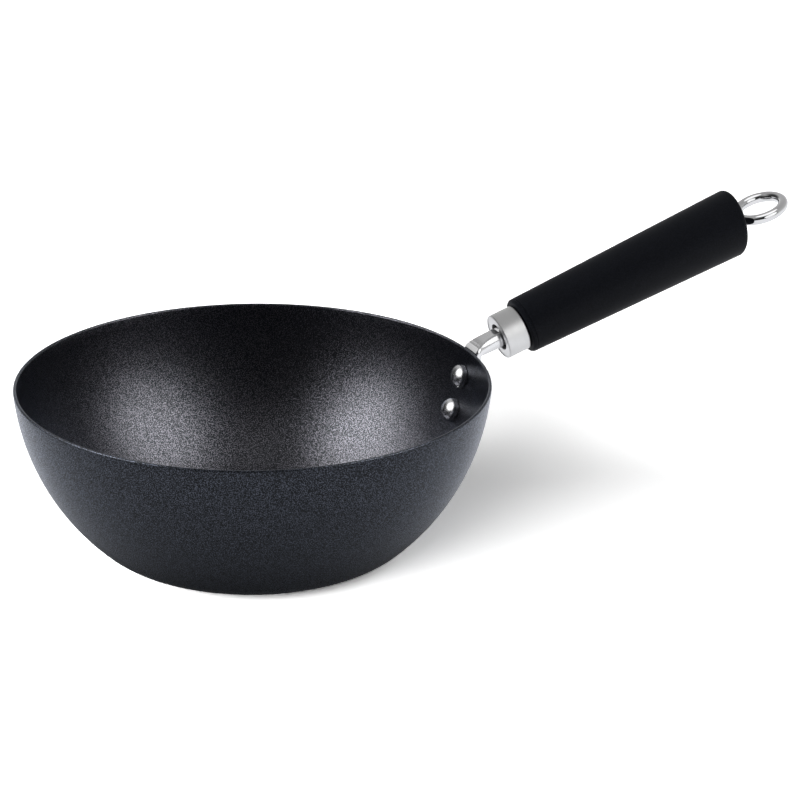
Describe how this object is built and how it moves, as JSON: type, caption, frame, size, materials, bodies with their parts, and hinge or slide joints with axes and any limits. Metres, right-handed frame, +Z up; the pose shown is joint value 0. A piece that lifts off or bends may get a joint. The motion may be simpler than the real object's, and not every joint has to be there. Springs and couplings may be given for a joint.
{
  "type": "wok",
  "caption": "Flat-bottomed nonstick wok: deep round bowl on a riveted steel tang, with a ferrule, a tapered moulded grip and a ring to hang it by.",
  "frame": {"origin": "centre of the flat base, on the surface the wok stands on", "axes": "+Z up out of the bowl, +X from the bowl towards the handle"},
  "size_m": [0.3518, 0.2, 0.1289],
  "materials": {
    "coating": "dark charcoal nonstick coating, satin, with a fine pale fleck",
    "polished_steel": "polished steel rod with faint draw lines",
    "rivet_metal": "bright domed heads with soft tumbling marks",
    "satin_steel": "satin turned steel with bright edges",
    "moulded_grip": "black phenolic with a fine matt grain",
    "chromed_wire": "mirror chrome"
  },
  "bodies": {
    "root": {"bowl": "coating", "tang": "polished_steel", "rivet_upper": "rivet_metal", "rivet_lower": "rivet_metal", "ferrule": "satin_steel", "grip": "moulded_grip", "hanging_ring": "chromed_wire"}
  },
  "joints": []
}
